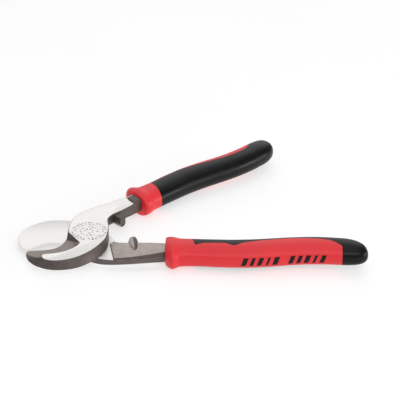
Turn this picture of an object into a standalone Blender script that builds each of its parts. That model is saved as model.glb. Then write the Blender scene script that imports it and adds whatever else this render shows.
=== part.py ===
"""High-leverage cable cutter: two forged levers on a flush rivet, with two-colour grips.

All sizes are in millimetres and are turned into metres by MM. The tool lies flat: the lower
ground face is at z = 0, the rivet is at the origin and the handles point along +X. One lever
outline is drawn once and used twice, the upper one turned over about the long axis.
"""
import math

import bmesh
import bpy
from mathutils import Matrix

MM = 0.001
OBJECT_NAME = "high_leverage_cable_cutter"

# ---- driving dimensions, mm and degrees ---------------------------------------------------
HEAD_THICKNESS = 12.7      # both halves together, half an inch
JAW_REACH = 50.5           # rivet centre to the far side of the hook
OPEN_ANGLE = 44.0          # between the levers as the tool lies open
RUNNING_GAP = 0.3          # between any two pieces that face each other
RIVET_SHANK_R = 6.0
RIVET_HEAD_R = 8.4
RIVET_HEAD_DEPTH = 2.2
SHOULDER_RISE = 1.2        # tang above the lap face at the shoulder
COLLAR_RISE = 3.4          # tang above the lap face at the grip collar
GROUND_STEP = 0.9          # forged step behind the ground face
LUG_RISE = 2.8             # end of the stop lug above the lap face
RIB_RISE = 3.6             # far end of the rib behind the lug
COLLAR_X = 54.5            # front of the grip
GRIP_LENGTH = 140.5
GRIP_HALF_WIDTH = 11.8
GRIP_HALF_DEPTH = 8.2
COVER_SETBACK = 17.0       # collar front to the front of the soft cover, inner side
COVER_LEAN = 3.2           # how far that front leans back round the section
CAP_LENGTH = 18.0          # rear cap of the soft cover
UPPER_SETBACK = 2.4        # the upper collar starts this much further back
FADE_LENGTH = 60.0         # over which that setback fades out along the grip
COVER_THICKNESS = 1.9
SECTION_POWER = 2.3        # how square the oval grip section is

HALF = HEAD_THICKNESS / 2.0
LAP_Z = -RUNNING_GAP / 2.0
JAW_SCALE = JAW_REACH / 50.5
DRAWN_GRIP = 140.5         # length of the grip that the tables draw
CORE_END = 135.0           # where the hard core stops inside the cap, as drawn
TANG_END = 54.0            # outline points behind this move with the collar
SHOULDER_X = 15.0
RIB_FAR = 18.1             # how far out the rib behind the lug ends
RING_STEP = 0.15           # length of the small wall where the core drops under the cover
CORNER_ARC = 0.8           # degrees left free at each corner of the sunk part of the core
JOIN_DEPTH = 0.8           # how far an added solid starts inside the plate it joins
EDGE_BEVEL = 0.9           # bevel round the top of the raised back and of the step
WALL_LEAN = 0.25           # draft of the forged walls
LUG_BEVEL = 0.45
SINK_LAND = 0.4            # straight land above each rivet countersink
CUT_SPILL = 1.0            # how far a cutting tool runs past the face it cuts

# ---- outlines, mm, lever frame: x to the handle, this lever's grip at y < 0 ---------------
# Each row is one corner: x, y on the lap face and x, y on the ground face.
INNER_SIDE = [
    (54.2, -9.2, 54.2, -10.0), (46.0, -7.9, 46.0, -8.0), (36.0, -7.2, 36.0, -7.0),
    (27.0, -7.0, 27.0, -6.8), (21.5, -6.0, 22.0, -5.0), (18.2, -2.6, 18.6, -1.8),
    (14.6, 3.4, 15.0, 3.4), (10.0, 9.4, 10.0, 8.8), (5.0, 14.6, 5.0, 13.4)]
HOOK_BACK = [
    (0.0, 18.8, 0.4, 16.4), (-10.0, 23.8, -9.6, 20.2), (-21.0, 25.7, -20.2, 22.0),
    (-31.0, 24.9, -29.6, 21.4), (-40.0, 20.5, -38.0, 18.4), (-46.6, 13.8, -43.8, 13.8),
    (-49.8, 6.0, -46.2, 9.8)]
HOOK_TIP = [
    (-50.5, 0.0, -46.6, 8.4), (-49.6, -6.0, -46.4, 6.8), (-47.0, -11.6, -45.9, 5.3),
    (-44.2, -14.9, -45.1, 4.0)]
EDGE = [
    (-42.0, -15.4, -43.9, 3.0), (-38.5, -13.0, -41.2, 3.7), (-34.0, -9.6, -37.2, 6.4),
    (-29.5, -6.9, -31.6, 9.0), (-25.0, -5.7, -26.0, 10.1), (-20.5, -6.2, -20.8, 9.9),
    (-16.5, -7.9, -17.2, 9.3)]
BLADE_ROOT = [(-13.6, -9.5, -14.8, 7.6), (-12.6, -10.0, -11.8, -8.4)]
OUTER_SIDE = [
    (-9.4, -13.4, -8.8, -12.2), (-4.6, -18.4, -3.6, -17.2), (1.6, -22.8, 2.4, -21.2),
    (8.0, -26.2, 8.6, -23.9), (15.0, -28.0, 15.2, -24.7), (22.0, -28.4, 22.0, -24.4),
    (30.0, -27.9, 30.0, -23.5), (40.0, -26.6, 40.0, -22.0), (48.0, -24.8, 48.0, -20.8),
    (54.2, -23.2, 54.2, -20.0)]

# Raised back of the tang on the lap side, in plan.
TANG_BACK = [
    (14.6, -7.2), (18.7, -28.0), (30.0, -27.4), (40.0, -26.1), (48.0, -24.3), (54.2, -22.8),
    (54.2, -9.6), (46.0, -8.4), (36.0, -7.7), (27.0, -7.5), (21.0, -6.6), (17.0, -4.2)]
# Forged step on the ground side, in plan.
TANG_STEP = [(50.6, -19.2), (54.2, -18.9), (54.2, -10.1), (48.9, -8.7), (49.3, -14.5)]
# Stop lug and the rib behind it, in plan. The end face meets the other lug on the centre line.
LUG = [
    (28.6, -0.15), (33.8, -0.15), (34.6, -4.0), (35.8, -8.0), (35.8, -13.0), (35.0, -18.0),
    (31.6, -18.1), (29.2, -12.8), (28.0, -9.0), (27.6, -7.4), (28.0, -4.0)]

# Grip sections, x measured from the collar as drawn: x, centre y, then half width and half
# depth as shares of the nominal ones.
GRIP = [
    (0.0, -15.2, 0.90, 0.90), (0.7, -15.9, 1.02, 1.01), (2.4, -16.9, 1.14, 1.08),
    (5.0, -17.9, 1.21, 1.11), (7.2, -17.7, 1.15, 1.07), (9.6, -17.2, 1.04, 1.01),
    (13.0, -17.0, 1.00, 0.99), (17.0, -17.0, 0.99, 0.98), (26.5, -17.2, 0.98, 0.98),
    (34.5, -17.6, 1.00, 0.99), (42.5, -17.8, 1.00, 1.00),
    (47.5, -17.8, 1.00, 1.00), (52.5, -17.7, 1.01, 1.01), (60.5, -17.2, 1.02, 1.01),
    (68.5, -16.3, 1.02, 1.01), (76.5, -15.2, 1.02, 1.01), (85.5, -13.8, 1.01, 1.00),
    (95.5, -12.7, 1.00, 0.99), (104.5, -12.3, 0.99, 0.99), (112.5, -12.4, 0.99, 0.98),
    (118.0, -12.8, 0.98, 0.97), (123.5, -13.2, 0.97, 0.97), (128.5, -13.8, 0.93, 0.94),
    (133.0, -14.6, 0.84, 0.87), (136.5, -15.4, 0.69, 0.75), (138.9, -16.2, 0.49, 0.57),
    (140.2, -16.8, 0.26, 0.33), (140.5, -17.0, 0.12, 0.17)]
# Where the soft cover ends round the section, degrees from the inner side: x, over, under.
PARTING = [
    (17.7, 101.0, 140.0), (26.5, 90.0, 127.0), (34.5, 88.0, 124.0),
    (42.5, 89.0, 125.0), (47.5, 99.0, 136.0), (52.5, 89.0, 124.0), (60.5, 79.0, 115.0),
    (68.5, 73.0, 109.0), (76.5, 70.0, 105.0), (85.5, 70.0, 102.0), (95.5, 72.0, 100.0),
    (104.5, 76.0, 99.0), (112.5, 83.0, 101.0), (118.0, 94.0, 108.0), (122.2, 112.0, 124.0)]
ARC_STEPS = 12
# Steel inside the grip: x from the collar, half width and half depth as shares of the grip.
TAIL = [(-2.5, 0.54, 0.36), (3.5, 0.54, 0.50), (15.0, 0.49, 0.50), (40.0, 0.44, 0.46),
        (70.0, 0.39, 0.41), (95.0, 0.34, 0.36), (110.5, 0.27, 0.31)]


# ---- scene helpers ------------------------------------------------------------------------
def clear_scene():
    for ob in list(bpy.data.objects):
        bpy.data.objects.remove(ob, do_unlink=True)


def make_collection(name):
    group = bpy.data.collections.new(name)
    bpy.context.scene.collection.children.link(group)
    return group


def material(name, colour, metallic, roughness):
    mat = bpy.data.materials.new(name)
    mat.use_nodes = True
    shader = mat.node_tree.nodes["Principled BSDF"]
    shader.inputs["Base Color"].default_value = (*colour, 1.0)
    shader.inputs["Metallic"].default_value = metallic
    shader.inputs["Roughness"].default_value = roughness
    return mat


def loft(name, rings, group):
    """A closed solid through rings of equal length, given in mm."""
    bm = bmesh.new()
    rows = []
    for ring in rings:
        rows.append([bm.verts.new((x * MM, y * MM, z * MM)) for x, y, z in ring])
    count = len(rows[0])
    for low, high in zip(rows, rows[1:]):
        for i in range(count):
            j = (i + 1) % count
            bm.faces.new((low[i], low[j], high[j], high[i]))
    bm.faces.new(rows[0])
    bm.faces.new(rows[-1])
    bmesh.ops.triangulate(bm, faces=bm.faces[:])
    bmesh.ops.recalc_face_normals(bm, faces=bm.faces[:])
    mesh = bpy.data.meshes.new(name)
    bm.to_mesh(mesh)
    bm.free()
    mesh.shade_smooth()
    mesh.set_sharp_from_angle(angle=math.radians(35.0))
    ob = bpy.data.objects.new(name, mesh)
    group.objects.link(ob)
    return ob


def revolve(name, profile, group, steps=48):
    """Turn a radius and height profile, top to bottom, about Z with the Screw modifier."""
    mesh = bpy.data.meshes.new(name)
    verts = [(r * MM, 0.0, z * MM) for r, z in profile]
    mesh.from_pydata(verts, [(i, i + 1) for i in range(len(verts) - 1)], [])
    ob = bpy.data.objects.new(name, mesh)
    group.objects.link(ob)
    screw = ob.modifiers.new("turn", "SCREW")
    screw.axis = "Z"
    screw.steps = steps
    screw.render_steps = steps
    screw.use_merge_vertices = True
    screw.merge_threshold = 0.00001
    return ob


def boolean(ob, cutter, operation, cutters):
    if cutter.name not in cutters.objects:
        cutters.objects.link(cutter)
    cutter.hide_render = True
    cutter.display_type = "WIRE"
    mod = ob.modifiers.new(operation.lower() + " " + cutter.name, "BOOLEAN")
    mod.operation = operation
    mod.solver = "EXACT"
    mod.object = cutter


# ---- curves and sections ------------------------------------------------------------------
def smooth_run(points, parts):
    """Catmull-Rom through every point, with the given number of parts per span."""
    out = []
    last = len(points) - 1
    for i in range(last):
        before = points[max(i - 1, 0)]
        start = points[i]
        end = points[i + 1]
        after = points[min(i + 2, last)]
        for k in range(parts):
            t = k / parts
            row = []
            for p0, p1, p2, p3 in zip(before, start, end, after):
                bend = (p2 - p0) * t + (2 * p0 - 5 * p1 + 4 * p2 - p3) * t * t
                bend += (3 * p1 - p0 - 3 * p2 + p3) * t * t * t
                row.append(p1 + 0.5 * bend)
            out.append(tuple(row))
    out.append(points[last])
    return out


def between(table, x):
    """Straight-line reading of a table whose first column is x."""
    if x <= table[0][0]:
        return table[0][1:]
    for low, high in zip(table, table[1:]):
        if x <= high[0]:
            t = (x - low[0]) / (high[0] - low[0])
            return tuple(a + (b - a) * t for a, b in zip(low[1:], high[1:]))
    return table[-1][1:]


def jaw_point(x, y):
    """Scale the jaw ahead of the rivet with the wanted reach."""
    if x < 0.0:
        return x * JAW_SCALE, y
    return x, y


def tang_point(x, y, setback):
    """Carry the rear end of the tang back with the collar."""
    if x > TANG_END:
        return x + setback, y
    return x, y


def lever_outlines(setback):
    run = smooth_run(INNER_SIDE + HOOK_BACK + HOOK_TIP, 2)
    run += smooth_run(EDGE, 2)
    run += BLADE_ROOT
    run += smooth_run(OUTER_SIDE, 2)
    lap = [tang_point(*jaw_point(row[0], row[1]), setback) for row in run]
    ground = [tang_point(*jaw_point(row[2], row[3]), setback) for row in run]
    return lap, ground


def inset(points, amount):
    """Move a closed plan outline inwards along the mean of its side normals."""
    count = len(points)
    area = 0.0
    for i in range(count):
        x0, y0 = points[i - 1]
        x1, y1 = points[i]
        area += x0 * y1 - x1 * y0
    turn = 1.0 if area > 0.0 else -1.0
    out = []
    for i in range(count):
        x0, y0 = points[i - 1]
        x1, y1 = points[i]
        x2, y2 = points[(i + 1) % count]
        ax, ay = unit(x1 - x0, y1 - y0)
        bx, by = unit(x2 - x1, y2 - y1)
        nx, ny = unit(-(ay + by) * turn, (ax + bx) * turn)
        lean = max(0.5, nx * -ay * turn + ny * ax * turn)
        out.append((x1 + nx * amount / lean, y1 + ny * amount / lean))
    return out


def unit(x, y):
    size = math.hypot(x, y) or 1.0
    return x / size, y / size


def back_height(x):
    """Height of the raised tang back above the lap plane."""
    share = (x - SHOULDER_X) / (COLLAR_X - SHOULDER_X)
    return SHOULDER_RISE + (COLLAR_RISE - SHOULDER_RISE) * share


def rib_height(y):
    """Height of the stop lug and its rib above the lap plane."""
    share = -y / RIB_FAR
    return LUG_RISE + (RIB_RISE - LUG_RISE) * share


def oval(x, centre, half_width, half_depth, angles, lean=0.0):
    """One grip section; lean moves the outer side of the ring towards the rear."""
    ring = []
    power = 2.0 / SECTION_POWER
    for angle in angles:
        c = math.cos(math.radians(angle))
        s = math.sin(math.radians(angle))
        y = math.copysign(abs(c) ** power, c) * half_width
        z = math.copysign(abs(s) ** power, s) * half_depth
        ring.append((x + lean * (1.0 - c), centre + y, z))
    return ring


def arc(start, end, steps):
    return [start + (end - start) * i / steps for i in range(steps + 1)]


def grip_station(reach):
    """Centre, half width and half depth of the whole grip, reach counted from the collar."""
    centre, wide, deep = between(GRIP, reach)
    return centre, wide * GRIP_HALF_WIDTH, deep * GRIP_HALF_DEPTH


def along(reach, setback=0.0):
    """Turn a drawn reach into x; the front of a set-back grip is drawn closer together."""
    x = COLLAR_X + reach * GRIP_LENGTH / DRAWN_GRIP
    return x + setback * max(0.0, 1.0 - reach / FADE_LENGTH)


# ---- steel --------------------------------------------------------------------------------
def add_lever(name, matrix, mat, parts, cutters, setback):
    lap, ground = lever_outlines(setback)
    back_plan = [tang_point(x, y, setback) for x, y in TANG_BACK]
    step_plan = [tang_point(x, y, setback) for x, y in TANG_STEP]
    ob = loft(name, [[(x, y, -HALF) for x, y in ground],
                     [(x, y, LAP_Z) for x, y in lap]], parts)
    ob.data.materials.append(mat)
    edge = [(x, y, LAP_Z - JOIN_DEPTH) for x, y in back_plan]
    wall = [(x, y, back_height(x) - 0.7) for x, y in inset(back_plan, WALL_LEAN)]
    top = [(x, y, back_height(x)) for x, y in inset(back_plan, EDGE_BEVEL)]
    back = loft(name + "_back", [edge, wall, top], cutters)
    foot = [(x, y, -HALF + JOIN_DEPTH) for x, y in step_plan]
    rim = [(x, y, -HALF - 0.5 * GROUND_STEP) for x, y in inset(step_plan, WALL_LEAN)]
    crown = [(x, y, -HALF - GROUND_STEP) for x, y in inset(step_plan, EDGE_BEVEL)]
    step = loft(name + "_step", [crown, rim, foot], cutters)
    low = [(x, y, -HALF + JOIN_DEPTH) for x, y in LUG]
    mid = [(x, y, rib_height(y) - 0.5) for x, y in LUG]
    tip = [(x, y, rib_height(y)) for x, y in inset(LUG, LUG_BEVEL)]
    lug = loft(name + "_lug", [low, mid, tip], cutters)
    tail = loft(name + "_tail", tail_rings(0.0, 0.0), cutters)
    hole = revolve(name + "_hole", hole_profile(), cutters)
    for piece in (ob, back, step, lug, tail, hole):
        piece.matrix_world = matrix
    for piece in (back, step, lug, tail):
        boolean(ob, piece, "UNION", cutters)
    boolean(ob, hole, "DIFFERENCE", cutters)
    return ob


def tail_rings(grow, lead):
    """Sections of the steel inside the grip, or of its pocket when grown."""
    rings = []
    angles = [22.5 + 45.0 * i for i in range(8)]
    for row, (reach, wide, deep) in enumerate(TAIL):
        x = along(reach)
        if row == len(TAIL) - 1:
            x += grow
        centre = grip_station(max(reach, 0.0))[0]
        half_width = wide * GRIP_HALF_WIDTH + grow
        half_depth = deep * GRIP_HALF_DEPTH + grow
        rings.append(oval(x, centre, half_width, half_depth, angles))
    if lead > 0.0:
        rings.insert(0, [(x - lead, y, z) for x, y, z in rings[0]])
    return rings


def hole_profile():
    gap = RUNNING_GAP
    throat = RIVET_SHANK_R + gap
    mouth = RIVET_HEAD_R + gap
    return [(0.0, CUT_SPILL), (throat, CUT_SPILL), (throat, -HALF + RIVET_HEAD_DEPTH + gap),
            (mouth, -HALF + SINK_LAND), (mouth, -HALF - CUT_SPILL), (0.0, -HALF - CUT_SPILL)]


def add_rivet(matrix, mat, parts):
    half = [(0.0, HALF), (RIVET_HEAD_R, HALF), (RIVET_HEAD_R, HALF - SINK_LAND),
            (RIVET_SHANK_R, HALF - RIVET_HEAD_DEPTH)]
    profile = half + [(r, -z) for r, z in reversed(half)]
    ob = revolve("pivot_rivet", profile, parts)
    ob.matrix_world = matrix
    ob.data.materials.append(mat)
    return ob


# ---- grips --------------------------------------------------------------------------------
def core_rings(grow, setback):
    """Sections of the hard core, or of the space it needs inside the cover when grown.

    The core has its full size where it shows and is sunk by the cover thickness elsewhere.
    """
    spill = -1.0 if grow > 0.0 else 0.0
    sink = COVER_THICKNESS + RUNNING_GAP - grow
    front = COVER_SETBACK - RUNNING_GAP + grow
    rear = DRAWN_GRIP - CAP_LENGTH - RUNNING_GAP + grow
    plan = [(row[0], spill, spill, 0.0) for row in GRIP if row[0] < front - 1.0]
    plan += [(front - RING_STEP, spill, spill, COVER_LEAN), (front, spill, sink, COVER_LEAN)]
    behind = front + 2.0 * COVER_LEAN
    plan += [(row[0], spill, sink, 0.0) for row in GRIP if behind < row[0] < rear - 1.0]
    plan += [(rear - RING_STEP, spill, sink, 0.0), (rear, sink, sink, 0.0)]
    plan += [(row[0], sink, sink, 0.0) for row in GRIP if rear + 1.0 < row[0] < CORE_END]
    plan[-1] = (plan[-1][0] + grow, sink, sink, 0.0)
    spread = math.degrees(grow / GRIP_HALF_WIDTH)
    rings = []
    for reach, drop_shown, drop_hidden, lean in plan:
        over, under = between(PARTING, reach)
        shown = arc(over - spread, 360.0 - under + spread, ARC_STEPS)
        hidden = arc(-under + spread + CORNER_ARC, over - spread - CORNER_ARC, ARC_STEPS + 2)
        centre, wide, deep = grip_station(reach)
        x = along(reach, setback)
        ring = oval(x, centre, wide - drop_shown, deep - drop_shown, shown, lean)
        ring += oval(x, centre, wide - drop_hidden, deep - drop_hidden, hidden, lean)
        rings.append(ring)
    return rings


def cover_rings(setback):
    """Sections of the whole grip from just ahead of the soft cover to the end."""
    reaches = [COVER_SETBACK - 1.5, COVER_SETBACK]
    reaches += [row[0] for row in GRIP if row[0] > COVER_SETBACK + 1.0]
    rings = []
    for reach in reaches:
        over, under = between(PARTING, reach)
        angles = arc(over, 360.0 - under, ARC_STEPS)[:-1]
        angles += arc(-under, over, ARC_STEPS + 2)[:-1]
        centre, wide, deep = grip_station(reach)
        rings.append(oval(along(reach, setback), centre, wide, deep, angles))
    return rings


def add_core(name, matrix, mat, parts, cutters, setback):
    ob = loft(name, core_rings(0.0, setback), parts)
    ob.data.materials.append(mat)
    pocket = loft(name + "_pocket", tail_rings(RUNNING_GAP, 2.0), cutters)
    for piece in (ob, pocket):
        piece.matrix_world = matrix
    boolean(ob, pocket, "DIFFERENCE", cutters)
    return ob


def add_cover(name, matrix, mat, parts, cutters, setback):
    ob = loft(name, cover_rings(setback), parts)
    ob.data.materials.append(mat)
    room = loft(name + "_room", core_rings(RUNNING_GAP, setback), cutters)
    for piece in (ob, room):
        piece.matrix_world = matrix
    boolean(ob, room, "DIFFERENCE", cutters)
    return ob


# ---- assembly -----------------------------------------------------------------------------
def main():
    clear_scene()
    parts = make_collection(OBJECT_NAME)
    cutters = make_collection("cutters")
    steel = material("forged_steel", (0.30, 0.28, 0.27), 1.0, 0.4)
    rivet_steel = material("rivet_steel", (0.62, 0.61, 0.60), 1.0, 0.3)
    red = material("hard_red_plastic", (0.62, 0.03, 0.035), 0.0, 0.4)
    black = material("soft_black_plastic", (0.02, 0.02, 0.02), 0.0, 0.6)
    lift = Matrix.Translation((0.0, 0.0, HALF * MM))
    half_turn = math.radians(OPEN_ANGLE / 2.0)
    lower = lift @ Matrix.Rotation(-half_turn, 4, "Z")
    upper = lift @ Matrix.Rotation(half_turn, 4, "Z") @ Matrix.Rotation(math.pi, 4, "X")
    for side, place, setback in (("lower", lower, 0.0), ("upper", upper, UPPER_SETBACK)):
        add_lever(side + "_lever", place, steel, parts, cutters, setback)
        add_core(side + "_grip_core", place, red, parts, cutters, setback)
        add_cover(side + "_grip_cover", place, black, parts, cutters, setback)
    add_rivet(lift, rivet_steel, parts)


main()
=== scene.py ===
import math

import bmesh
import bpy
from bpy.props import FloatProperty, FloatVectorProperty, IntProperty, PointerProperty
from mathutils import Matrix, Vector


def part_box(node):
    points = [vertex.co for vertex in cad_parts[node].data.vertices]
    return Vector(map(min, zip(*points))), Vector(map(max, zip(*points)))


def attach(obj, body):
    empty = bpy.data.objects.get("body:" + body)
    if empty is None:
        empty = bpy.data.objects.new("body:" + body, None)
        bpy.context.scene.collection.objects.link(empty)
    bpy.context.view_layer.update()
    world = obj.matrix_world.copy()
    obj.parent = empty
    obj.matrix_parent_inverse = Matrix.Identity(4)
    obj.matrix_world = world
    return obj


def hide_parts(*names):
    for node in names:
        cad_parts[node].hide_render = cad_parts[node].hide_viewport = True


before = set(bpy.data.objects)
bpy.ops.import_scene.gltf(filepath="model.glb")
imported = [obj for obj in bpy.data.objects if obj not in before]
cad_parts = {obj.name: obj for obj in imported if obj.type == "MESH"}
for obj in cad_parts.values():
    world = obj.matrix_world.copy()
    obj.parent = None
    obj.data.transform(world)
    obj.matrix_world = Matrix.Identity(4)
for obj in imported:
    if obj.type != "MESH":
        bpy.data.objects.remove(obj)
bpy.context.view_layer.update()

bl_info = {
    "name": "High-Leverage Cable Cutter",
    "version": (1, 0, 0),
    "blender": (4, 5, 0),
    "location": "3D View > Sidebar > Cutter",
    "description": "Builds the visible pieces, finishes and studio of a hand cable cutter",
    "category": "Object",
}

MM = 0.001
SIDES = ("lower", "upper")


RIVET_LOW, RIVET_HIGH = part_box("pivot_rivet")
HALF = (RIVET_HIGH.z - RIVET_LOW.z) / MM / 2.0
HEAD_R = (RIVET_HIGH.x - RIVET_LOW.x) / MM / 2.0
LAP_Z = -0.15              # half of the gap between the two laps
RIVET_SHANK_R = 6.0
RIVET_HEAD_DEPTH = 2.2
HOLE_R = 6.3
ROUND_STEPS = 96           # corners of the rivet and of its hole
HALF_TURN = math.radians(22.0)


def linear(code):
    """An sRGB hex colour as the linear colour that shaders use."""
    channels = [int(code[i:i + 2], 16) / 255.0 for i in (1, 3, 5)]
    return tuple(c / 12.92 if c <= 0.04045 else ((c + 0.055) / 1.055) ** 2.4 for c in channels)


# ---- the forging, in millimetres, in the lever's own frame ----------------------------------
# x runs to the handle, this lever's grip is at y < 0 and its ground face looks down. Each row
# is one corner: x, y on the lap face and x, y on the ground face.
INNER_SIDE = [
    (54.2, -9.2, 54.2, -10.0), (46.0, -7.9, 46.0, -8.0), (36.0, -7.2, 36.0, -7.0),
    (27.0, -7.0, 27.0, -6.8), (21.5, -6.0, 22.0, -5.0), (18.2, -2.6, 18.6, -1.8),
    (14.6, 3.4, 15.0, 3.4), (10.0, 9.4, 10.0, 8.8), (5.0, 14.6, 5.0, 13.4)]
HOOK_BACK = [
    (0.0, 18.8, 0.4, 16.4), (-10.0, 23.8, -9.6, 20.2), (-21.0, 25.7, -20.2, 22.0),
    (-31.0, 24.9, -29.6, 21.4), (-40.0, 20.5, -38.0, 18.4), (-46.6, 13.8, -43.8, 13.8),
    (-49.8, 6.0, -46.2, 9.8)]
HOOK_TIP = [
    (-50.5, 0.0, -46.6, 8.4), (-49.6, -6.0, -46.4, 6.8), (-47.0, -11.6, -45.9, 5.3),
    (-44.2, -14.9, -45.1, 4.0)]
EDGE = [
    (-42.0, -15.4, -43.9, 3.0), (-38.5, -13.0, -41.2, 3.7), (-34.0, -9.6, -37.2, 6.4),
    (-29.5, -6.9, -31.6, 9.0), (-25.0, -5.7, -26.0, 10.1), (-20.5, -6.2, -20.8, 9.9),
    (-16.5, -7.9, -17.2, 9.3)]
BLADE_ROOT = [(-13.6, -9.5, -14.8, 7.6), (-12.6, -10.0, -11.8, -8.4)]
OUTER_SIDE = [
    (-9.4, -13.4, -8.8, -12.2), (-4.6, -18.4, -3.6, -17.2), (1.6, -22.8, 2.4, -21.2),
    (8.0, -26.2, 8.6, -23.9), (15.0, -28.0, 15.2, -24.7), (22.0, -28.4, 22.0, -24.4),
    (30.0, -27.9, 30.0, -23.5), (40.0, -26.6, 40.0, -22.0), (48.0, -24.8, 48.0, -20.8),
    (54.2, -23.2, 54.2, -20.0)]
# Raised back of the tang: x, y at its foot and x, y on its top face.
TANG_BACK = [
    (15.0, -7.4, 15.7, -8.1), (19.1, -28.0, 19.7, -27.3), (30.0, -27.4, 30.0, -26.5),
    (38.0, -26.4, 38.0, -24.9), (46.0, -24.8, 46.0, -22.4), (54.2, -22.8, 54.2, -19.9),
    (54.2, -9.6, 54.2, -11.0), (46.0, -8.4, 46.0, -9.4), (36.0, -7.7, 36.0, -8.4),
    (27.0, -7.5, 27.0, -8.1), (21.0, -6.6, 21.3, -7.3), (17.4, -4.6, 17.9, -5.5)]
# Forged step on the ground side, in plan.
TANG_STEP = [(50.6, -19.0), (54.2, -18.7), (54.2, -10.2), (48.9, -8.9), (49.3, -14.5)]
# Half-round stop lug and the rib behind it: y, x on both sides and the height of the crest.
LUG = [
    (-0.2, 28.6, 33.3, 2.3), (-0.5, 28.2, 33.7, 2.6), (-1.2, 27.9, 34.0, 2.8),
    (-4.0, 27.6, 34.7, 3.0), (-7.4, 27.5, 35.6, 3.2), (-10.0, 28.1, 35.8, 3.35),
    (-13.0, 29.1, 35.8, 3.5), (-15.8, 30.3, 35.4, 3.5), (-17.4, 31.4, 34.9, 3.1),
    (-18.1, 32.2, 34.2, 2.5)]
LUG_TAPER = 1.0            # the lug's jaw side leans in this much at its foot
LUG_ROOT_Z = -1.2          # where the lug's half-round top starts
SHOULDER_X = 15.0
SHOULDER_RISE = 1.2
COLLAR_RISE = 3.4
# The step from its crown to its foot: how far inside the plan, and how far past the ground face.
STEP_PROFILE = [(1.5, 0.9), (0.9, 0.8), (0.45, 0.5), (0.1, 0.2), (-0.3, 0.04), (-0.3, -0.6)]
# Raised back of the tang: share of the way from foot to top, and the drop below the top.
BACK_PROFILE = [(0.12, 0.62), (0.45, 0.25), (0.78, 0.06), (1.0, 0.0)]
# Steel inside the grip: distance behind the collar, half width and half depth as shares.
TAIL = [(-2.5, 0.54, 0.36), (3.5, 0.54, 0.50), (40.0, 0.44, 0.46), (95.0, 0.34, 0.36),
        (110.5, 0.27, 0.31)]
HOLLOW = 1.9               # power of the curve that the bevel's hollow follows

# ---- the grip, in millimetres behind its collar ----------------------------------------------
# x, centre y, half width and half depth as shares of the nominal ones.
COLLAR_X = 54.5
GRIP_HALF_WIDTH = 11.8
GRIP_HALF_DEPTH = 8.2
GRIP = [
    (0.0, -15.2, 0.90, 0.90), (0.7, -15.9, 1.02, 1.01), (2.4, -16.9, 1.14, 1.08),
    (5.0, -17.9, 1.21, 1.11), (7.2, -17.7, 1.15, 1.07), (9.6, -17.2, 1.04, 1.01),
    (13.0, -17.0, 1.00, 0.99), (17.0, -17.0, 0.99, 0.98), (26.5, -17.2, 0.98, 0.98),
    (34.5, -17.6, 1.00, 0.99), (42.5, -17.8, 1.00, 1.00),
    (47.5, -17.8, 1.00, 1.00), (52.5, -17.7, 1.01, 1.01), (60.5, -17.2, 1.02, 1.01),
    (68.5, -16.3, 1.02, 1.01), (76.5, -15.2, 1.02, 1.01), (85.5, -13.8, 1.01, 1.00),
    (95.5, -12.7, 1.00, 0.99), (104.5, -12.3, 0.99, 0.99), (112.5, -12.4, 0.99, 0.98),
    (118.0, -12.8, 0.98, 0.97), (123.5, -13.2, 0.97, 0.97), (128.5, -13.8, 0.93, 0.94),
    (133.0, -14.6, 0.84, 0.87), (136.5, -15.4, 0.69, 0.75), (138.9, -16.2, 0.49, 0.57),
    (140.2, -16.8, 0.26, 0.33), (140.5, -17.0, 0.12, 0.17)]
# Where the soft cover ends, in degrees from the inner side: x, over the top, under.
PARTING = [
    (17.7, 101.0, 140.0), (22.0, 97.0, 136.0), (26.5, 90.0, 127.0), (34.5, 88.0, 124.0),
    (42.5, 89.0, 125.0), (47.5, 99.0, 136.0), (52.5, 89.0, 124.0), (60.5, 79.0, 115.0),
    (68.5, 73.0, 109.0), (76.5, 70.0, 105.0), (85.5, 70.0, 102.0), (95.5, 72.0, 100.0),
    (104.5, 76.0, 99.0), (112.5, 83.0, 101.0), (118.0, 94.0, 108.0), (122.2, 112.0, 124.0)]
COVER_SETBACK = 17.0
COVER_LEAN = 3.2
CAP_START = 122.5
CORE_END = 135.0           # where the hard core stops inside the cap
FADE_LENGTH = 60.0         # over which the upper grip's setback fades out
TANG_END = 54.0            # outline points behind this move with the collar
SETBACK = {"lower": 0.0, "upper": 2.4}
SECTION_POWER = 2.3        # how square the oval grip section is
SHOWN_STEPS = 30           # parts round the section where the hard core shows
HIDDEN_STEPS = 34          # parts round the rest of it
WALL_STEP = 0.06           # length of the wall where the core drops under the cover
CORNER_ARC = 0.4           # degrees left free at each corner of the sunk part
# Printed bars: where the row starts, its pitch and the width of each bar; 0.0 is the space.
BAR_START = 55.0
BAR_PITCH = 5.4
BAR_WIDTHS = (3.4, 2.4, 3.0, 1.6, 3.6, 0.0, 3.2, 2.8, 3.4, 1.8, 3.0)
# Raised ticks: count, start, pitch, angle round the section, least length, growth, and height
# in degrees round the section.
TICK_ROWS = ((20, 38.0, 2.9, -26.0, 1.3, 0.4, 15.0), (5, 31.0, 3.2, -52.0, 1.9, 0.0, 12.0))

# ---- the studio, in metres ----------------------------------------------------------------------
JAW_REST_X = -0.044        # where the lower jaw touches the floor
FLOOR_SIDE = 3.0
STUDIO_CENTRE = (0.08, 0.02, 0.0)
# Softboxes: name, place, width, height and watts.
SOFTBOXES = (
    ("backdrop softbox", (0.50, 2.0, 1.0), 3.0, 1.5, 14.2),
    ("overhead softbox", (0.10, 0.20, 1.6), 1.6, 1.6, 8.0),
    ("right softbox", (1.25, -0.64, 0.26), 0.9, 0.5, 8.0),
    ("front softbox", (-0.15, -1.05, 1.15), 1.4, 0.6, 9.0))
CAMERA_AZIMUTH = -20.62
CAMERA_ELEVATION = 29.11
CAMERA_DISTANCE = 1.0732
CAMERA_AIM = (0.0929, 0.0252)


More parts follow.
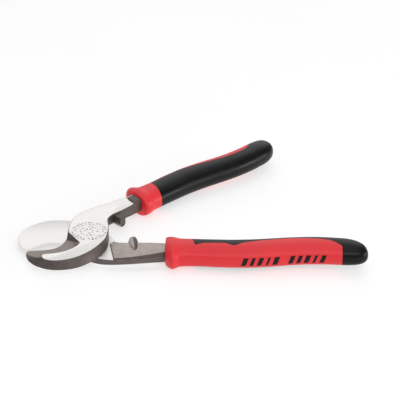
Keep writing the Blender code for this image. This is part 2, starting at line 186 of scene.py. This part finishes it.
# ---- sizes and colours a user may change ------------------------------------------------------
class CutterSteel(bpy.types.PropertyGroup):
    edge_round: FloatProperty(
        name="Edge rounding", description="Rounding along the edges of the ground faces",
        default=0.4 * MM, min=0.05 * MM, max=0.6 * MM, subtype="DISTANCE", unit="LENGTH")
    stamp_depth: FloatProperty(
        name="Stamp depth", description="Depth of the stamped marks round the rivet",
        default=0.25 * MM, min=0.05 * MM, max=0.6 * MM, subtype="DISTANCE", unit="LENGTH")
    stamp_marks: IntProperty(
        name="Stamp marks", description="Marks in the outer stamped ring",
        default=34, min=8, max=60)
    ground_colour: FloatVectorProperty(
        name="Ground steel", description="Colour of the ground faces",
        default=linear("#ECE9E7"), size=3, min=0.0, max=1.0, subtype="COLOR")
    scale_colour: FloatVectorProperty(
        name="Forging scale", description="Colour of the forged walls",
        default=linear("#655B57"), size=3, min=0.0, max=1.0, subtype="COLOR")
    # Painted light: a lighter copy of the forging colour, put on forged faces where light falls
    # (tang tops, the lug's left flank).
    lit_forging_colour: FloatVectorProperty(
        name="Painted lit forging", description="Lighter copy of the forging colour: painted light where light falls",
        default=linear("#B9ADA6"), size=3, min=0.0, max=1.0, subtype="COLOR")
    bevel_colour: FloatVectorProperty(
        name="Hollow bevel", description="Colour of the hollow-ground bevel behind each edge",
        default=linear("#9A8E88"), size=3, min=0.0, max=1.0, subtype="COLOR")


class CutterGrips(bpy.types.PropertyGroup):
    cover_thickness: FloatProperty(
        name="Cover thickness", description="Thickness of the soft cover over the hard core",
        default=1.9 * MM, min=1.0 * MM, max=2.5 * MM, subtype="DISTANCE", unit="LENGTH")
    seam: FloatProperty(
        name="Seam", description="Open line between the two mouldings",
        default=0.12 * MM, min=0.05 * MM, max=0.3 * MM, subtype="DISTANCE", unit="LENGTH")
    print_height: FloatProperty(
        name="Print height", description="Height of the printed bars on the outer side",
        default=6.0 * MM, min=3.0 * MM, max=8.0 * MM, subtype="DISTANCE", unit="LENGTH")
    red: FloatVectorProperty(
        name="Hard moulding", description="Colour of the hard grip core",
        default=linear("#E5333A"), size=3, min=0.0, max=1.0, subtype="COLOR")
    black: FloatVectorProperty(
        name="Soft moulding", description="Colour of the soft cover and rear cap",
        default=linear("#0E0C0C"), size=3, min=0.0, max=1.0, subtype="COLOR")


# ---- meshes -------------------------------------------------------------------------------------
def loft(name, rings, mats=(), face_slots=None, end_slot=0):
    """A closed solid through rings of equal length, given in mm; face_slots picks finishes."""
    bm = bmesh.new()
    rows = [[bm.verts.new((x * MM, y * MM, z * MM)) for x, y, z in ring] for ring in rings]
    count = len(rows[0])
    for band, (low, high) in enumerate(zip(rows, rows[1:])):
        for i in range(count):
            j = (i + 1) % count
            face = bm.faces.new((low[i], low[j], high[j], high[i]))
            face.material_index = face_slots(band, i) if face_slots else 0
    for row in (rows[0], rows[-1]):
        bm.faces.new(row).material_index = end_slot
    bmesh.ops.recalc_face_normals(bm, faces=bm.faces[:])
    return finish_mesh(name, bm, mats)


def finish_mesh(name, bm, mats=()):
    mesh = bpy.data.meshes.new(name)
    bm.to_mesh(mesh)
    bm.free()
    ob = bpy.data.objects.new(name, mesh)
    bpy.context.scene.collection.objects.link(ob)
    for mat in mats:
        mesh.materials.append(mat)
    return ob


def apply_all(ob):
    """Replace the object's mesh with what its modifiers make of it."""
    bpy.context.view_layer.update()
    graph = bpy.context.evaluated_depsgraph_get()
    mesh = bpy.data.meshes.new_from_object(ob.evaluated_get(graph))
    if not mesh.polygons:
        raise RuntimeError("nothing is left of " + ob.name)
    ob.modifiers.clear()
    ob.data = mesh
    return ob


def boolean(ob, tool, operation):
    mod = ob.modifiers.new(operation.lower(), "BOOLEAN")
    mod.operation = operation
    mod.solver = "EXACT"
    mod.material_mode = "TRANSFER"
    mod.object = tool
    apply_all(ob)
    bpy.data.objects.remove(tool, do_unlink=True)


def shade(ob, degrees):
    ob.data.shade_smooth()
    ob.data.set_sharp_from_angle(angle=math.radians(degrees))


def smooth_run(points, parts):
    """Catmull-Rom through every point, with the given number of parts per span."""
    out = []
    last = len(points) - 1
    for i in range(last):
        before = points[max(i - 1, 0)]
        start = points[i]
        end = points[i + 1]
        after = points[min(i + 2, last)]
        for k in range(parts):
            t = k / parts
            row = []
            for p0, p1, p2, p3 in zip(before, start, end, after):
                bend = (p2 - p0) * t + (2 * p0 - 5 * p1 + 4 * p2 - p3) * t * t
                bend += (3 * p1 - p0 - 3 * p2 + p3) * t * t * t
                row.append(p1 + 0.5 * bend)
            out.append(tuple(row))
    out.append(points[last])
    return out


def between(table, x):
    """Straight-line reading of a table whose first column is x."""
    if x <= table[0][0]:
        return table[0][1:]
    for low, high in zip(table, table[1:]):
        if x <= high[0]:
            t = (x - low[0]) / (high[0] - low[0])
            return tuple(a + (b - a) * t for a, b in zip(low[1:], high[1:]))
    return table[-1][1:]


def unit(x, y):
    size = math.hypot(x, y) or 1.0
    return x / size, y / size


def inset(points, amount):
    """Move a closed plan outline inwards along the mean of its side normals."""
    count = len(points)
    area = sum(points[i - 1][0] * points[i][1] - points[i][0] * points[i - 1][1]
               for i in range(count))
    turn = 1.0 if area > 0.0 else -1.0
    out = []
    for i in range(count):
        x0, y0 = points[i - 1]
        x1, y1 = points[i]
        x2, y2 = points[(i + 1) % count]
        ax, ay = unit(x1 - x0, y1 - y0)
        bx, by = unit(x2 - x1, y2 - y1)
        nx, ny = unit(-(ay + by) * turn, (ax + bx) * turn)
        lean = max(0.5, nx * -ay * turn + ny * ax * turn)
        out.append((x1 + nx * amount / lean, y1 + ny * amount / lean))
    return out


def mix_ring(first, second, t):
    return [(a[0] + (b[0] - a[0]) * t, a[1] + (b[1] - a[1]) * t) for a, b in zip(first, second)]


def at_height(points, z):
    return [(x, y, z) for x, y in points]


def carried_back(points, setback):
    """Carry the rear end of the tang back with the collar."""
    return [(x + setback if x > TANG_END else x, y) for x, y in points]


# ---- steel --------------------------------------------------------------------------------------
# The third finish is a lighter copy of the forging scale finish: painted light on faces where
# light falls.
GROUND, SCALE, LIT_FORGING, BEVEL = range(4)


def lever_plate(name, mats, round_mm, setback):
    """Jaw, head and tang between the two faces, with a small round along the ground face."""
    parts = 5
    blade = smooth_run(EDGE, parts)
    run = smooth_run(INNER_SIDE + HOOK_BACK + HOOK_TIP, parts)
    first_edge = len(run)
    run += blade
    last_edge = len(run)
    run += BLADE_ROOT
    run += smooth_run(OUTER_SIDE, parts)
    lap = carried_back([row[:2] for row in run], setback)
    ground = carried_back([row[2:] for row in run], setback)
    height = HALF + LAP_Z
    rings = [at_height(inset(ground, round_mm), -HALF),
             at_height(inset(ground, 0.35 * round_mm), -HALF + 0.2 * round_mm),
             at_height(inset(ground, 0.08 * round_mm), -HALF + 0.55 * round_mm)]
    for t in (0.16, 0.30, 0.44, 0.58, 0.72, 0.84, 0.94):
        ring = mix_ring(ground, lap, t)
        hollow = mix_ring(ground, lap, t ** HOLLOW)
        ring[first_edge - 8:last_edge] = hollow[first_edge - 8:last_edge]
        rings.append(at_height(ring, -HALF + t * height))
    soft = inset(lap, 0.15)
    sharp = [lap[i] if first_edge - 4 <= i <= last_edge + 2 else p for i, p in enumerate(soft)]
    rings.append(at_height(mix_ring(soft, lap, 0.7), LAP_Z - 0.05))
    rings.append(at_height(sharp, LAP_Z))

    def slot(band, i):
        on_blade = first_edge - 4 <= i < last_edge
        return BEVEL if on_blade and band >= 2 else SCALE

    ob = loft(name, rings, mats, slot)
    for poly in ob.data.polygons:
        if abs(poly.normal.z) > 0.999 and len(poly.vertices) > 20:
            poly.material_index = GROUND
    return ob


def back_height(x):
    """Height of the raised tang back above the lap plane."""
    share = (x - SHOULDER_X) / (COLLAR_X - SHOULDER_X)
    return SHOULDER_RISE + (COLLAR_RISE - SHOULDER_RISE) * share


def tang_back(mats, setback):
    foot = carried_back([row[:2] for row in TANG_BACK], setback)
    top = carried_back([row[2:] for row in TANG_BACK], setback)
    rings = [at_height(foot, -1.0), at_height(foot, LAP_Z + 0.3)]
    for t, drop in BACK_PROFILE:
        rings.append([(x, y, back_height(x) - drop) for x, y in mix_ring(foot, top, t)])
    # Walls in forging scale; the upper rings and the top face in the lighter copy, painted light
    # where the overhead light falls.
    return loft("tang_back", rings, mats, lambda band, i: SCALE if band < 3 else LIT_FORGING, LIT_FORGING)


def tang_step(mats, setback):
    plan = carried_back(TANG_STEP, setback)
    rings = [at_height(inset(plan, inwards), -HALF - drop) for inwards, drop in STEP_PROFILE]
    return loft("tang_step", rings, mats, lambda band, i: SCALE, SCALE)


def stop_lug(mats):
    rings = []
    for y, left, right, crest in smooth_run(LUG, 3):
        middle = (left + right) / 2.0
        wide = (right - left) / 2.0
        ring = [(left + LUG_TAPER, y, -HALF + 1.0)]
        for angle in arc(180.0, 0.0, 16):
            rise = math.sin(math.radians(angle)) ** 0.8
            ring.append((middle + wide * math.cos(math.radians(angle)), y,
                         LUG_ROOT_Z + (crest - LUG_ROOT_Z) * rise))
        ring.append((right, y, -HALF + 1.0))
        rings.append(ring)
    # Painted light: the lug's left flank gets the lighter copy, and the right flank keeps the
    # darker forging colour as painted shade.
    return loft("stop_lug", rings, mats, lambda band, i: LIT_FORGING if 1 < i < 9 else SCALE, SCALE)


def tang_tail(mats):
    """The steel that runs on inside the grip."""
    rings = []
    angles = [22.5 + 45.0 * i for i in range(8)]
    for reach, wide, deep in TAIL:
        centre = grip_station(GRIP, max(reach, 0.0))[0]
        rings.append(oval(COLLAR_X + reach, centre, wide * GRIP_HALF_WIDTH,
                          deep * GRIP_HALF_DEPTH, angles))
    return loft("tang_tail", rings, mats, lambda band, i: SCALE, SCALE)


def rivet_hole(mats, gap):
    profile = [(HEAD_R + gap, -HALF - 1.0), (HEAD_R + gap, -HALF + 0.4),
               (HOLE_R, -HALF + 2.5), (HOLE_R, 1.0)]
    return loft("rivet_hole", turned(profile, 0.0), mats, lambda band, i: SCALE, SCALE)


def turned(profile, lift_mm):
    """Rings about the rivet's axis through a radius and height profile."""
    angles = [2.0 * math.pi * i / ROUND_STEPS for i in range(ROUND_STEPS)]
    return [[(r * math.cos(a), r * math.sin(a), z + lift_mm) for a in angles]
            for r, z in profile]


def stamp_tool(mats, depth, rows, lift_mm):
    """Short bars in rings round the axis, all in one mesh, sunk into a flat face."""
    bm = bmesh.new()
    for radius, number, length in rows:
        for k in range(number):
            if k % 9 == 4:
                continue
            wide = 0.55 + 0.2 * (k % 3)
            tall = length * (0.75 + 0.125 * (k % 4))
            skew = math.radians(9.0 * ((k * 5) % 7 - 3))
            place = Matrix.Translation((0.0, 0.0, lift_mm * MM))
            place = place @ Matrix.Rotation(2.0 * math.pi * k / number, 4, "Z")
            place = place @ Matrix.Translation((radius * MM, 0.0, 0.0))
            place = place @ Matrix.Rotation(skew, 4, "Z")
            size = Matrix.Diagonal((tall * MM, wide * MM, 2.0 * depth, 1.0))
            bmesh.ops.create_cube(bm, size=1.0, matrix=place @ size)
    for face in bm.faces:
        face.material_index = SCALE
    return finish_mesh("stamp_tool", bm, mats)


def lever_matrix(side):
    """Place of a lever as the tool lies open; the upper one is turned over."""
    lift = Matrix.Translation((0.0, 0.0, HALF * MM))
    if side == "lower":
        return lift @ Matrix.Rotation(-HALF_TURN, 4, "Z")
    return lift @ Matrix.Rotation(HALF_TURN, 4, "Z") @ Matrix.Rotation(math.pi, 4, "X")


def place_piece(ob, side, node):
    ob.data.transform(lever_matrix(side))
    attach(ob, side + "_half")
    if node:
        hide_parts(node)
    return ob


# ---- grips --------------------------------------------------------------------------------------
def oval(x, centre, half_width, half_depth, angles, lean=0.0):
    """One grip section; lean moves the outer side of the ring towards the rear."""
    ring = []
    power = 2.0 / SECTION_POWER
    for angle in angles:
        c = math.cos(math.radians(angle))
        s = math.sin(math.radians(angle))
        y = math.copysign(abs(c) ** power, c) * half_width
        z = math.copysign(abs(s) ** power, s) * half_depth
        ring.append((x + lean * (1.0 - c), centre + y, z))
    return ring


def arc(start, end, steps):
    return [start + (end - start) * i / steps for i in range(steps + 1)]


def grip_station(table, reach):
    centre, wide, deep = between(table, reach)
    return centre, wide * GRIP_HALF_WIDTH, deep * GRIP_HALF_DEPTH


def fine_tables():
    """The two grip tables with smooth rows between the given ones."""
    grip = smooth_run(GRIP, 4)
    parting = smooth_run(PARTING, 3)
    return grip, parting


def along(reach, setback):
    """Turn a reach into x; the front of a set-back grip is drawn closer together."""
    return COLLAR_X + reach + setback * max(0.0, 1.0 - reach / FADE_LENGTH)


def core_rings(sink_mm, grow, seam, setback):
    """Sections of the hard core, or of the room it needs in the cover when grown."""
    grip, parting = fine_tables()
    spill = -1.0 if grow > 0.0 else 0.0
    sink = sink_mm + seam - grow
    front = COVER_SETBACK - seam + grow
    rear = CAP_START - seam + grow
    plan = [(row[0], spill, spill, 0.0) for row in grip if row[0] < front - 1.0]
    plan += [(front - WALL_STEP, spill, spill, COVER_LEAN), (front, spill, sink, COVER_LEAN)]
    behind = front + 2.0 * COVER_LEAN + 0.3
    plan += [(row[0], spill, sink, 0.0) for row in grip if behind < row[0] < rear - 0.7]
    plan += [(rear - WALL_STEP, spill, sink, 0.0), (rear, sink, sink, 0.0)]
    plan += [(row[0], sink, sink, 0.0) for row in grip if rear + 0.7 < row[0] < CORE_END]
    spread = math.degrees(grow / GRIP_HALF_WIDTH)
    rings = []
    for reach, drop_shown, drop_hidden, lean in plan:
        over, under = between(parting, reach)
        shown = arc(over - spread, 360.0 - under + spread, SHOWN_STEPS)
        hidden = arc(-under + spread + CORNER_ARC, over - spread - CORNER_ARC, HIDDEN_STEPS)
        centre, wide, deep = grip_station(grip, reach)
        x = along(reach, setback)
        ring = oval(x, centre, wide - drop_shown, deep - drop_shown, shown, lean)
        ring += oval(x, centre, wide - drop_hidden, deep - drop_hidden, hidden, lean)
        rings.append(ring)
    return rings


def cover_rings(setback):
    """Sections of the whole grip from just ahead of the soft cover to the end."""
    grip, parting = fine_tables()
    rings = []
    for reach, centre, wide, deep in grip:
        if reach < COVER_SETBACK - 2.0:
            continue
        over, under = between(parting, reach)
        angles = arc(over, 360.0 - under, SHOWN_STEPS)[:-1]
        angles += arc(-under, over, HIDDEN_STEPS)[:-1]
        rings.append(oval(along(reach, setback), centre, wide * GRIP_HALF_WIDTH,
                          deep * GRIP_HALF_DEPTH, angles))
    return rings


def surface_point(grip, reach, angle, proud):
    """A point on the grip's outside, in mm, stood off along the section by proud."""
    centre, wide, deep = grip_station(grip, reach)
    return oval(COLLAR_X + reach, centre, wide + proud, deep + proud, [angle])[0]


def surface_patch(bm, grip, reach, angle, long_mm, high_deg, slant, proud, sunk):
    """A thin curved bar on the grip's outside: its own top, bottom and sides."""
    steps = 8
    layers = []
    for stand in (-sunk, proud):
        rows = []
        for k in range(steps + 1):
            share = k / steps - 0.5
            turn = angle + share * high_deg
            shift = -share * slant
            left = surface_point(grip, reach + shift - long_mm / 2.0, turn, stand)
            right = surface_point(grip, reach + shift + long_mm / 2.0, turn, stand)
            rows.append((bm.verts.new(Vector(left) * MM), bm.verts.new(Vector(right) * MM)))
        layers.append(rows)
    low, high = layers
    for k in range(steps):
        bm.faces.new((low[k][0], low[k][1], low[k + 1][1], low[k + 1][0]))
        bm.faces.new((high[k][0], high[k + 1][0], high[k + 1][1], high[k][1]))
        for side in (0, 1):
            bm.faces.new((low[k][side], low[k + 1][side], high[k + 1][side], high[k][side]))
    for k in (0, steps):
        bm.faces.new((low[k][0], high[k][0], high[k][1], low[k][1]))


# ---- finishes -----------------------------------------------------------------------------------
def add(tree, kind, inputs=None, **settings):
    """Add one node with its settings, its input values and its incoming links."""
    node = tree.nodes.new(kind)
    for name, value in settings.items():
        setattr(node, name, value)
    for name, value in (inputs or {}).items():
        if isinstance(value, bpy.types.NodeSocket):
            tree.links.new(value, node.inputs[name])
        else:
            node.inputs[name].default_value = value
    return node


def mix_colour(tree, factor, first, second):
    """Blend two colours by a factor; 6, 7 and 2 are the node's colour sockets."""
    node = tree.nodes.new("ShaderNodeMix")
    node.data_type = "RGBA"
    tree.links.new(factor, node.inputs[0])
    node.inputs[6].default_value = (*first, 1.0)
    node.inputs[7].default_value = (*second, 1.0)
    return node.outputs[2]


def new_finish(name):
    mat = bpy.data.materials.new(name)
    mat.use_nodes = True
    tree = mat.node_tree
    return mat, tree, tree.nodes["Principled BSDF"]


def ground_steel(colour):
    """Surface-ground chrome-vanadium steel: nearly white, with faint wheel lines across it."""
    mat, tree, shader = new_finish("ground tool steel")
    place = add(tree, "ShaderNodeTexCoord")
    # A 60 grit wheel leaves lines about 0.25 mm apart; they are drawn at 0.5 mm to show.
    stretch = add(tree, "ShaderNodeMapping", {"Vector": place.outputs["Object"],
                                              "Scale": (2000.0, 120.0, 2000.0)})
    lines = add(tree, "ShaderNodeTexNoise", {"Vector": stretch.outputs[0], "Scale": 1.0,
                                             "Detail": 3.0, "Roughness": 0.6})
    cloud = add(tree, "ShaderNodeTexNoise", {"Vector": place.outputs["Object"], "Scale": 45.0,
                                             "Detail": 2.0})
    tone = add(tree, "ShaderNodeMapRange", {"Value": cloud.outputs["Fac"], "From Min": 0.3,
                                            "From Max": 0.7, "To Min": 0.94, "To Max": 1.0})
    tint = mix_colour(tree, tone.outputs[0], (0.62, 0.6, 0.59), colour)
    rough = add(tree, "ShaderNodeMapRange", {"Value": lines.outputs["Fac"], "From Min": 0.3,
                                             "From Max": 0.7, "To Min": 0.34, "To Max": 0.46})
    bump = add(tree, "ShaderNodeBump", {"Height": lines.outputs["Fac"], "Strength": 0.12,
                                        "Distance": 0.00005})
    tree.links.new(tint, shader.inputs["Base Color"])
    tree.links.new(rough.outputs[0], shader.inputs["Roughness"])
    tree.links.new(bump.outputs[0], shader.inputs["Normal"])
    shader.inputs["Metallic"].default_value = 1.0
    return mat


def forged_steel(name, colour, dark, metallic, roughness):
    """Drop-forged steel, shot-blasted and oiled: a mottled grey-brown skin with fine pits."""
    mat, tree, shader = new_finish(name)
    place = add(tree, "ShaderNodeTexCoord")
    # Scale from the die varies over 3 to 6 mm; blast pits are about 0.4 mm.
    patches = add(tree, "ShaderNodeTexNoise", {"Vector": place.outputs["Object"], "Scale": 220.0,
                                               "Detail": 4.0, "Roughness": 0.6})
    pits = add(tree, "ShaderNodeTexNoise", {"Vector": place.outputs["Object"], "Scale": 2200.0,
                                            "Detail": 2.0})
    mottle = add(tree, "ShaderNodeMapRange", {"Value": patches.outputs["Fac"], "From Min": 0.32,
                                              "From Max": 0.68})
    tint = mix_colour(tree, mottle.outputs[0], [c * dark for c in colour], colour)
    bump = add(tree, "ShaderNodeBump", {"Height": pits.outputs["Fac"], "Strength": 0.25,
                                        "Distance": 0.0001})
    tree.links.new(tint, shader.inputs["Base Color"])
    tree.links.new(bump.outputs[0], shader.inputs["Normal"])
    shader.inputs["Metallic"].default_value = metallic
    shader.inputs["Roughness"].default_value = roughness
    return mat


def moulded_plastic(name, colour, roughness, grain, depth, spread, sheen):
    """Injection-moulded plastic: an even colour with a fine spark-eroded grain."""
    mat, tree, shader = new_finish(name)
    place = add(tree, "ShaderNodeTexCoord")
    skin = add(tree, "ShaderNodeTexNoise", {"Vector": place.outputs["Object"], "Scale": grain,
                                            "Detail": 2.0})
    cloud = add(tree, "ShaderNodeTexNoise", {"Vector": place.outputs["Object"], "Scale": 70.0,
                                             "Detail": 2.0})
    rough = add(tree, "ShaderNodeMapRange", {"Value": cloud.outputs["Fac"], "From Min": 0.3,
                                             "From Max": 0.7, "To Min": roughness - spread,
                                             "To Max": roughness + spread})
    tint = mix_colour(tree, cloud.outputs["Fac"], [c * 0.93 for c in colour],
                      [min(1.0, c * 1.05) for c in colour])
    bump = add(tree, "ShaderNodeBump", {"Height": skin.outputs["Fac"], "Strength": depth,
                                        "Distance": 0.00008})
    tree.links.new(tint, shader.inputs["Base Color"])
    tree.links.new(rough.outputs[0], shader.inputs["Roughness"])
    tree.links.new(bump.outputs[0], shader.inputs["Normal"])
    shader.inputs["IOR"].default_value = 1.5
    shader.inputs["Specular IOR Level"].default_value = sheen
    return mat


def print_ink():
    """Pad-printing ink: flat black, a few hundredths of a millimetre thick."""
    mat, tree, shader = new_finish("pad printing ink")
    place = add(tree, "ShaderNodeTexCoord")
    speck = add(tree, "ShaderNodeTexNoise", {"Vector": place.outputs["Object"], "Scale": 900.0})
    tint = mix_colour(tree, speck.outputs["Fac"], linear("#14110F"), linear("#241C1A"))
    tree.links.new(tint, shader.inputs["Base Color"])
    shader.inputs["Roughness"].default_value = 0.55
    shader.inputs["Specular IOR Level"].default_value = 0.2
    return mat


def light_table():
    """Opal acrylic sheet lit from below, so that shadows on it stay faint."""
    mat, tree, shader = new_finish("opal acrylic sheet")
    place = add(tree, "ShaderNodeTexCoord")
    cloud = add(tree, "ShaderNodeTexNoise", {"Vector": place.outputs["Object"], "Scale": 8.0})
    glow = add(tree, "ShaderNodeMapRange", {"Value": cloud.outputs["Fac"], "To Min": 0.59,
                                            "To Max": 0.61})
    tree.links.new(glow.outputs[0], shader.inputs["Emission Strength"])
    shader.inputs["Emission Color"].default_value = (1.0, 1.0, 1.0, 1.0)
    shader.inputs["Base Color"].default_value = (0.46, 0.46, 0.46, 1.0)
    shader.inputs["Roughness"].default_value = 0.9
    shader.inputs["Specular IOR Level"].default_value = 0.1
    return mat


# ---- operators ----------------------------------------------------------------------------------
def shared_finish(name, maker, *values):
    """The finish of that name, made the first time it is asked for."""
    return bpy.data.materials.get(name) or maker(*values)


def steel_finishes(sizes):
    return [
        shared_finish("ground tool steel", ground_steel, tuple(sizes.ground_colour)),
        shared_finish("forging scale", forged_steel, "forging scale",
                      tuple(sizes.scale_colour), 0.72, 0.45, 0.5),
        # Painted light: a lighter copy of forged steel for the faces where light falls.
        shared_finish("worn forging", forged_steel, "worn forging",
                      tuple(sizes.lit_forging_colour), 0.8, 0.5, 0.45),
        shared_finish("hollow-ground bevel", forged_steel, "hollow-ground bevel",
                      tuple(sizes.bevel_colour), 0.85, 0.7, 0.48)]


class CUTTER_OT_levers(bpy.types.Operator):
    """Build both forged levers with their jaws, tangs, stop lugs and stamped rings"""
    bl_idname = "cutter.levers"
    bl_label = "Forged levers"

    def execute(self, context):
        sizes = context.scene.cutter_steel
        mats = steel_finishes(sizes)
        for side in SIDES:
            back = SETBACK[side]
            ob = lever_plate(side + "_forging", mats, sizes.edge_round / MM, back)
            for piece in (tang_back(mats, back), tang_step(mats, back), stop_lug(mats),
                          tang_tail(mats)):
                boolean(ob, piece, "UNION")
            boolean(ob, rivet_hole(mats, 0.03), "DIFFERENCE")
            count = sizes.stamp_marks
            rows = ((HEAD_R + 3.5, count, 1.4), (HEAD_R + 1.5, count * 2 // 3, 1.2))
            boolean(ob, stamp_tool(mats, sizes.stamp_depth, rows, -HALF), "DIFFERENCE")
            shade(ob, 28.0)
            place_piece(ob, side, side + "_lever")
        return {"FINISHED"}


class CUTTER_OT_rivet(bpy.types.Operator):
    """Build the flush rivet that joins the levers"""
    bl_idname = "cutter.rivet"
    bl_label = "Rivet"

    def execute(self, context):
        mats = steel_finishes(context.scene.cutter_steel)
        half = [(HEAD_R - 0.12, HALF), (HEAD_R - 0.02, HALF - 0.06), (HEAD_R, HALF - 0.4),
                (RIVET_SHANK_R, HALF - RIVET_HEAD_DEPTH)]
        profile = half + [(r, -z) for r, z in reversed(half)]
        ob = loft("flush_rivet", turned(profile, HALF), mats)
        rows = ((3.0, 7, 1.6), (6.0, 15, 1.2))
        for lift_mm in (0.0, 2.0 * HALF):
            depth = context.scene.cutter_steel.stamp_depth
            boolean(ob, stamp_tool(mats, depth, rows, lift_mm), "DIFFERENCE")
        shade(ob, 28.0)
        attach(ob, "lower_half")
        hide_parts("pivot_rivet")
        return {"FINISHED"}


class CUTTER_OT_grips(bpy.types.Operator):
    """Build the hard grip cores, the soft covers, their raised ticks and the printed bars"""
    bl_idname = "cutter.grips"
    bl_label = "Grips"

    def execute(self, context):
        sizes = context.scene.cutter_grips
        red = moulded_plastic("moulded polypropylene", tuple(sizes.red), roughness=0.42,
                              grain=2600.0, depth=0.12, spread=0.03, sheen=0.3)
        black = moulded_plastic("moulded elastomer", tuple(sizes.black), roughness=0.36,
                                grain=2000.0, depth=0.2, spread=0.04, sheen=0.2)
        ink = print_ink()
        sink = sizes.cover_thickness / MM
        seam = sizes.seam / MM
        for side in SIDES:
            back = SETBACK[side]
            core = loft(side + "_hard_core", core_rings(sink, 0.0, seam, back), [red])
            shade(core, 40.0)
            place_piece(core, side, side + "_grip_core")
            cover = loft(side + "_soft_cover", cover_rings(back), [black])
            room = loft("core_room", core_rings(sink, seam, seam, back), [black])
            boolean(cover, room, "DIFFERENCE")
            shade(cover, 40.0)
            place_piece(cover, side, side + "_grip_cover")
            bars = printed_bars(side, ink, sizes.print_height / MM)
            place_piece(bars, side, None)
            ticks = raised_ticks(side, ink)
            place_piece(ticks, side, None)
        return {"FINISHED"}


def printed_bars(side, ink, high_mm):
    """Two groups of five slanted bars on the outer side of the hard core."""
    grip = fine_tables()[0]
    bm = bmesh.new()
    share = (high_mm / 2.0 / GRIP_HALF_DEPTH) ** (SECTION_POWER / 2.0)
    high_deg = 2.0 * math.degrees(math.asin(share))
    for k, width in enumerate(BAR_WIDTHS):
        if width > 0.0:
            reach = BAR_START + BAR_PITCH * k
            surface_patch(bm, grip, reach, 180.0, width, high_deg, 2.2, 0.05, 0.15)
    bmesh.ops.recalc_face_normals(bm, faces=bm.faces[:])
    return finish_mesh(side + "_printed_bars", bm, [ink])


def raised_ticks(side, ink):
    """A long and a short row of small raised ticks on the inner side of the soft cover."""
    grip = fine_tables()[0]
    bm = bmesh.new()
    for count, start, pitch, angle, least, growth, high_deg in TICK_ROWS:
        for k in range(count):
            long_mm = least + growth * (k % 3)
            surface_patch(bm, grip, start + pitch * k, angle, long_mm, high_deg, 0.8, 0.15, 0.2)
    bmesh.ops.recalc_face_normals(bm, faces=bm.faces[:])
    return finish_mesh(side + "_raised_ticks", bm, [ink])


class CUTTER_OT_stage(bpy.types.Operator):
    """Set the pale floor, the soft studio light and the camera"""
    bl_idname = "cutter.stage"
    bl_label = "Stage"

    def execute(self, context):
        scene = context.scene
        lay_floor()
        world = bpy.data.worlds.new("studio")
        world.use_nodes = True
        world.node_tree.nodes["Background"].inputs["Color"].default_value = (1.0, 1.0, 1.0, 1.0)
        world.node_tree.nodes["Background"].inputs["Strength"].default_value = 0.25
        scene.world = world
        scene.view_settings.view_transform = "Standard"
        for box in SOFTBOXES:
            softbox(*box)
        aim_camera(scene)
        if scene.camera is None:
            raise RuntimeError("the stage has no camera")
        return {"FINISHED"}


def lay_floor():
    """A lit sheet 0.1 mm under the tool, level with its lower jaw and both grip collars."""
    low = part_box("lower_grip_core")[0]
    fall = -low.z / (low.x - JAW_REST_X)
    side = FLOOR_SIDE
    corners = [(-side, -side), (side, -side), (side, side), (-side, side)]
    bm = bmesh.new()
    bm.faces.new([bm.verts.new((x, y, (JAW_REST_X - x) * fall - 0.1 * MM)) for x, y in corners])
    floor = finish_mesh("floor", bm, [light_table()])


def softbox(name, place, wide, high, watts):
    """An area light that faces the middle of the tool."""
    lamp = bpy.data.lights.new(name, "AREA")
    lamp.shape = "RECTANGLE"
    lamp.size = wide
    lamp.size_y = high
    lamp.energy = watts
    ob = bpy.data.objects.new(name, lamp)
    bpy.context.scene.collection.objects.link(ob)
    ob.location = place
    aim = Vector(STUDIO_CENTRE) - ob.location
    ob.rotation_euler = aim.to_track_quat("-Z", "Y").to_euler()


def aim_camera(scene):
    azimuth = math.radians(CAMERA_AZIMUTH)
    elevation = math.radians(CAMERA_ELEVATION)
    target = Vector((*CAMERA_AIM, HALF * MM))
    back = Vector((math.sin(azimuth) * math.cos(elevation),
                   -math.cos(azimuth) * math.cos(elevation), math.sin(elevation)))
    camera = bpy.data.cameras.new("camera")
    camera.lens = 130.5
    camera.sensor_width = 36.0
    camera.clip_start = 0.05
    ob = bpy.data.objects.new("camera", camera)
    scene.collection.objects.link(ob)
    ob.location = target + back * CAMERA_DISTANCE
    ob.rotation_euler = (-back).to_track_quat("-Z", "Y").to_euler()
    scene.camera = ob


class CUTTER_PT_panel(bpy.types.Panel):
    """Sizes, colours and building steps of the cable cutter"""
    bl_idname = "CUTTER_PT_panel"
    bl_label = "Cable cutter"
    bl_space_type = "VIEW_3D"
    bl_region_type = "UI"
    bl_category = "Cutter"

    def draw(self, context):
        layout = self.layout
        for group in (context.scene.cutter_steel, context.scene.cutter_grips):
            for name in group.bl_rna.properties.keys():
                if name not in ("rna_type", "name"):
                    layout.prop(group, name)
        for step in STEPS:
            layout.operator(step.bl_idname)


STEPS = (CUTTER_OT_levers, CUTTER_OT_rivet, CUTTER_OT_grips, CUTTER_OT_stage)
CLASSES = (CutterSteel, CutterGrips, *STEPS, CUTTER_PT_panel)


def register():
    for cls in CLASSES:
        bpy.utils.register_class(cls)
    bpy.types.Scene.cutter_steel = PointerProperty(type=CutterSteel)
    bpy.types.Scene.cutter_grips = PointerProperty(type=CutterGrips)


def unregister():
    del bpy.types.Scene.cutter_grips
    del bpy.types.Scene.cutter_steel
    for cls in reversed(CLASSES):
        bpy.utils.unregister_class(cls)


def main():
    register()
    bpy.ops.cutter.levers()
    bpy.ops.cutter.rivet()
    bpy.ops.cutter.grips()
    bpy.ops.cutter.stage()


if __name__ == "__main__":
    main()
